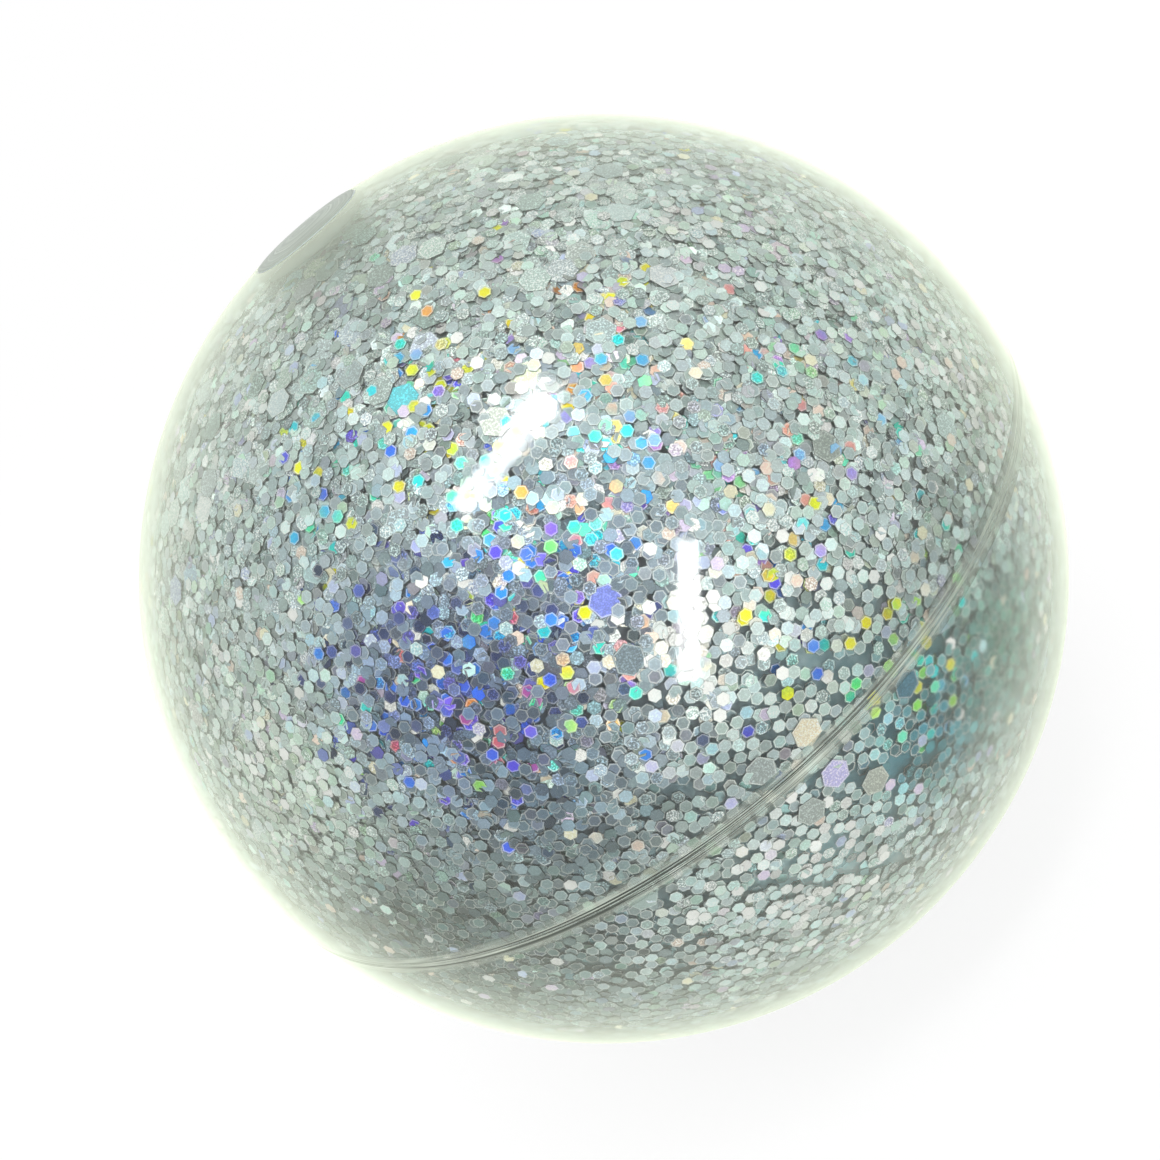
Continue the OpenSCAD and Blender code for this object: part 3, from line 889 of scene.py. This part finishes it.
# Tint of each flake: a cool grey, shifted by the zones (painted light and shade among them), or two hues of a
# vivid zone; then mottle and rim glow, a painted highlight
def tints(ways, rng, mottleShare=film["mottleShare"], vividness=1.0, murkAndShade=(1.0, 1.0, 1.0)):
    count = len(ways)
    apart = zonesWeight(ways, sparseZones)
    value = rng.normal(
        film["value"] + film["apartValue"] * apart, film["valueSpread"] + film["apartSpread"] * apart, count,
    )
    odd = rng.random((count, 1)) < film["oddShare"]
    cast = rng.normal(film["cast"], film["castSpread"], (count, 3))
    cast = cast + odd * rng.normal(0, film["oddSpread"], (count, 3))
    first = np.clip(value, *film["valueRange"])[:, None] * cast * zoneToneAndPaintedLight(ways)
    for zone in toneAndPaintedLightZones:
        first = first * (1 + zoneWeight(ways, zone)[:, None] * rng.normal(0, zone["rough"], (count, 1)))
    pale = np.array([hexShares(code) for code in hues["pale"]])
    isPale = rng.random(count)[:, None] < film["paleShare"] * vividness
    first = np.where(isPale, pale[rng.integers(0, len(pale), count)], first)
    second = first * rng.normal(1, film["greyDrift"], (count, 1))
    vivid = np.zeros(count, bool)
    for zone in vividZones:
        picks = np.array([hexShares(code) for family in zone["hues"] for code in hues[family]])
        chosen = (rng.random(count) < zone["share"] * vividness * zoneWeight(ways, zone))[:, None]
        hue = picks[rng.integers(0, len(picks), count)]
        other = picks[rng.integers(0, len(picks), count)]
        first = np.where(chosen, hue, first)
        second = np.where(chosen, hue + (other - hue) * film["hueDrift"], second)
        vivid |= chosen[:, 0] & ("dusk" not in zone["hues"])
    drift = rng.uniform(0, 2 * math.pi, count)
    sparkle = zonesWeight(ways, sparkleZones)
    isMottled = rng.random(count) < mottleShare * (1 - film["apartCalm"] * apart + film["sparkle"] * sparkle)
    mottle = np.where(isMottled, rng.uniform(*film["mottle"], count), film["plainMottle"])
    # painted highlight along the rim: more on vivid flakes and ones apart, less in the dusk patch
    flash = np.maximum(vivid, apart)
    isLit = rng.random(count) < film["glowShare"] + film["flashShare"] * flash
    plainRim = 1 - film["duskRim"] * zoneWeight(ways, duskZone)
    glow = rng.uniform(*film["glow"], count) * plainRim + film["flashGlow"] * flash
    return {
        "first": toLinear(np.clip(first * murkAndShade, 0, 1)),
        "second": toLinear(np.clip(second * murkAndShade, 0, 1)),
        "drift": drift,
        "mottle": mottle,
        "glow": np.where(isLit, glow, 0.0),
    }


def pickTint(tint, mine):
    return {name: values[mine] for name, values in tint.items()}


# Flakes that lie along the wall, each tipped by a random angle about a random level axis
def layFlakes(ways, settings, rng, depth):
    count = len(ways)
    loose = film["closeTilt"] - film["apartLess"] * zonesWeight(ways, sparseZones)
    tilt = np.radians(np.abs(rng.normal(0, settings["tilt"], count))) * loose
    side = unit(np.cross(ways, rng.normal(0, 1, (count, 3))))
    outward = unit(ways * np.cos(tilt)[:, None] + side * np.sin(tilt)[:, None])
    corner = settings["flats"] / math.sqrt(3)
    reach = flakeTop - corner * np.sin(tilt) - settings["thickness"] - corner ** 2 / (2 * flakeTop) - depth
    return ways * reach[:, None], outward


def clearOfBarb(middle, settings):  # true for flakes that pass the plug's barb when the filling turns
    reach = plug["barb"] + plug["clear"] + settings["flats"] / math.sqrt(3)
    return (middle[:, 2] < 0) | (np.hypot(middle[:, 0], middle[:, 1]) > reach)


def makeFineGlitter(marked):
    rng = np.random.default_rng(fineGlitter["seed"])
    wall = scatter(fineGlitter["wall"], rng)
    scales = scatter(fineGlitter["scales"], rng)
    thinned = zonesWeight(scales, sparseZones) * fineGlitter["scaleThinning"]
    scales = scales[rng.random(len(scales)) > thinned]
    deep = scatter(fineGlitter["deep"], rng)
    left = fineGlitter["deepShare"] - fineGlitter["deepThinning"] * zonesWeight(deep, sparseZones)
    deep = deep[rng.random(len(deep)) < left]
    ways = np.concatenate([wall, scales, deep])
    lie = np.concatenate([
        rng.uniform(*fineGlitter[name]["depth"], len(layer))
        for name, layer in (("wall", wall), ("scales", scales), ("deep", deep))
    ]) * mm
    depth = lie + chunkyGlitter["under"] * zonesWeight(ways, chunkyZones)
    middle, outward = layFlakes(ways, fineGlitter, rng, depth)
    number = np.arange(len(ways))
    close = zonesWeight(ways, sparseZones) < fineGlitter["gapFrom"]
    keep = clearOfBarb(middle, fineGlitter)
    keep &= (number % fineGlitter["gapEvery"] > 0) | close
    keep &= (ways @ marked.T).max(1) < math.cos(fineGlitter["markRoom"] * chunkyGlitter["flats"] / flakeTop)
    spin = rng.uniform(0, math.pi / 3, len(ways))
    outer = len(wall) + len(scales)
    shown = tints(ways[:outer], rng)
    # painted shade: flakes that lie deeper are dimmer
    fall = np.clip(lie[:outer] / fineGlitter["shadeDepth"], 0, 1)[:, None]
    shade = fineGlitter["topShade"] * (1 - fall) + fineGlitter["deepShade"] * fall
    for key in ("first", "second"):
        shown[key] = np.clip(shown[key] * shade, 0, 1)
    apart = zonesWeight(deep, sparseZones)[:, None]
    sunk = tints(deep, rng, murkAndShade=1 - apart * fineGlitter["murkAndShade"] - fineGlitter["dimming"])
    tint = {key: np.concatenate([shown[key], sunk[key]]) for key in shown}
    for part in range(fineGlitter["pieces"]):
        mine = keep & (number % fineGlitter["pieces"] == part)
        piece = flakes("fineGlitter%d" % (part + 1), middle[mine], outward[mine], spin[mine],
                       fineGlitter["flats"], fineGlitter["thickness"], pickTint(tint, mine))
        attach(piece, "filling")
        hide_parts("fine_flakes")
    print("fine flakes:", int(keep.sum()))


def makeChunkyGlitter(marked):
    rng = np.random.default_rng(chunkyGlitter["seed"])
    ways = scatter(chunkyGlitter["plates"], rng)
    share = chunkyGlitter["strayShare"] + chunkyGlitter["zoneShare"] * zonesWeight(ways, chunkyZones)
    ways = ways[rng.random(len(ways)) < share]
    ways = ways[(ways @ marked.T).max(1) < math.cos(chunkyGlitter["flats"] / flakeTop)]
    ways = np.concatenate([marked, ways])
    depth = rng.uniform(*chunkyGlitter["plates"]["depth"], len(ways)) * mm
    depth[:len(marked)] = 0.0
    middle, outward = layFlakes(ways, chunkyGlitter, rng, depth)
    keep = clearOfBarb(middle, chunkyGlitter)
    tint = tints(ways, rng, chunkyGlitter["mottleShare"], 0.0)
    tint["mottle"] *= chunkyGlitter["mottle"]
    tint["mottle"][:len(marked)] = chunkyGlitter["markedMottle"]
    for key in ("first", "second"):
        tint[key][:len(marked)] = toLinear([hexShares(mark["hue"]) for mark in markedPlates])
    spin = rng.uniform(0, chunkyGlitter["spin"], len(ways))
    piece = flakes("chunkyGlitter", middle[keep], outward[keep], spin[keep],
                   chunkyGlitter["flats"], chunkyGlitter["thickness"], pickTint(tint, keep))
    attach(piece, "filling")
    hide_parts("chunky_flakes")
    print("chunky flakes:", int(keep.sum()))


markedWays = np.array([pixelOnGlitter(*mark["pixel"]) for mark in markedPlates])
makeFineGlitter(markedWays)
makeChunkyGlitter(markedWays)
print("glitter laid")


# Pale floor, white all round and lamps that give the streaks of light on the skin
studio = {"floorSide": 6.0, "shadowShare": 0.15, "lampReach": 0.45}  # metres, share, metres from the skin
streaks = [  # pixels of the photograph between which a streak runs, and its width in pixels
    {"from": (687, 539), "to": (687, 681), "width": 21, "radiance": 20.0, "shape": "RECTANGLE"},
    {"from": (459, 511), "to": (504, 454), "width": 22, "radiance": 17.0, "shape": "RECTANGLE"},
    {"from": (503, 455), "to": (546, 399), "width": 29, "radiance": 17.0, "shape": "RECTANGLE"},
    {"from": (518, 428), "to": (556, 380), "width": 46, "radiance": 9.0, "shape": "ELLIPSE"},
]


# Matte white that takes a faint shadow, and plain white to the camera, in the gloss and through the ball
def floorMaterial():
    material, tree, output = newMaterial("pale floor")
    path = addNode(tree, "ShaderNodeLightPath")
    seen = addNode(tree, "ShaderNodeMath", {
        0: path.outputs["Is Camera Ray"], 1: path.outputs["Is Glossy Ray"],
    }, operation="MAXIMUM")
    seenToo = addNode(tree, "ShaderNodeMath", {
        0: seen.outputs[0], 1: path.outputs["Is Transmission Ray"],
    }, operation="MAXIMUM")
    share = addNode(tree, "ShaderNodeMath", {
        0: seenToo.outputs[0], 1: 1 - studio["shadowShare"],
    }, operation="MULTIPLY")
    matte = addNode(tree, "ShaderNodeBsdfDiffuse", {"Color": grey(1.0)})
    white = addNode(tree, "ShaderNodeEmission", {"Color": grey(1.0), "Strength": 1.0})
    mix = addNode(tree, "ShaderNodeMixShader", {
        0: share.outputs[0], 1: matte.outputs[0], 2: white.outputs[0],
    })
    tree.links.new(mix.outputs[0], output.inputs["Surface"])
    return material


def makeRoom():
    half = studio["floorSide"] / 2
    corners = np.array([(-half, -half), (half, -half), (half, half), (-half, half)])
    places = np.column_stack([corners, np.full(4, -ballR)])
    floor = triangleMesh("floor", places, np.array([(0, 1, 2), (0, 2, 3)]), [floorMaterial()])
    world = bpy.data.worlds.new("white room")
    world.use_nodes = True
    background = world.node_tree.nodes["Background"]
    background.inputs["Color"].default_value = grey(1.0)
    background.inputs["Strength"].default_value = 1.0
    bpy.context.scene.world = world


# Each lamp stands where the skin mirrors its streak, as long and wide as the streak asks, facing the ball
def makeLamps():
    reach = studio["lampReach"]
    for number, streak in enumerate(streaks):
        fromPixel = np.array(streak["from"], float)
        toPixel = np.array(streak["to"], float)
        midPixel = (fromPixel + toPixel) / 2
        run = toPixel - fromPixel
        aside = unit(np.array([run[1], -run[0]])) * streak["width"] / 2
        start = pixelMirror(*fromPixel, reach)
        end = pixelMirror(*toPixel, reach)
        near = pixelMirror(*(midPixel - aside), reach)
        far = pixelMirror(*(midPixel + aside), reach)
        centre = (start + end) / 2
        data = bpy.data.lights.new("streakLamp%d" % (number + 1), "AREA")
        data.shape = streak["shape"]
        data.size = np.linalg.norm(end - start)
        data.size_y = np.linalg.norm(far - near)
        filled = math.pi / 4 if streak["shape"] == "ELLIPSE" else 1.0
        data.energy = streak["radiance"] * math.pi * data.size * data.size_y * filled
        back = unit(centre)
        long = unit((end - start) - back * ((end - start) @ back))
        turn = Matrix(np.column_stack([long, np.cross(back, long), back]).tolist())
        lamp = bpy.data.objects.new(data.name, data)
        lamp.matrix_world = Matrix.Translation(Vector(centre)) @ turn.to_4x4()
        bpy.context.scene.collection.objects.link(lamp)


makeRoom()
makeLamps()
bpy.context.scene.view_settings.view_transform = "Standard"
print("studio lit")
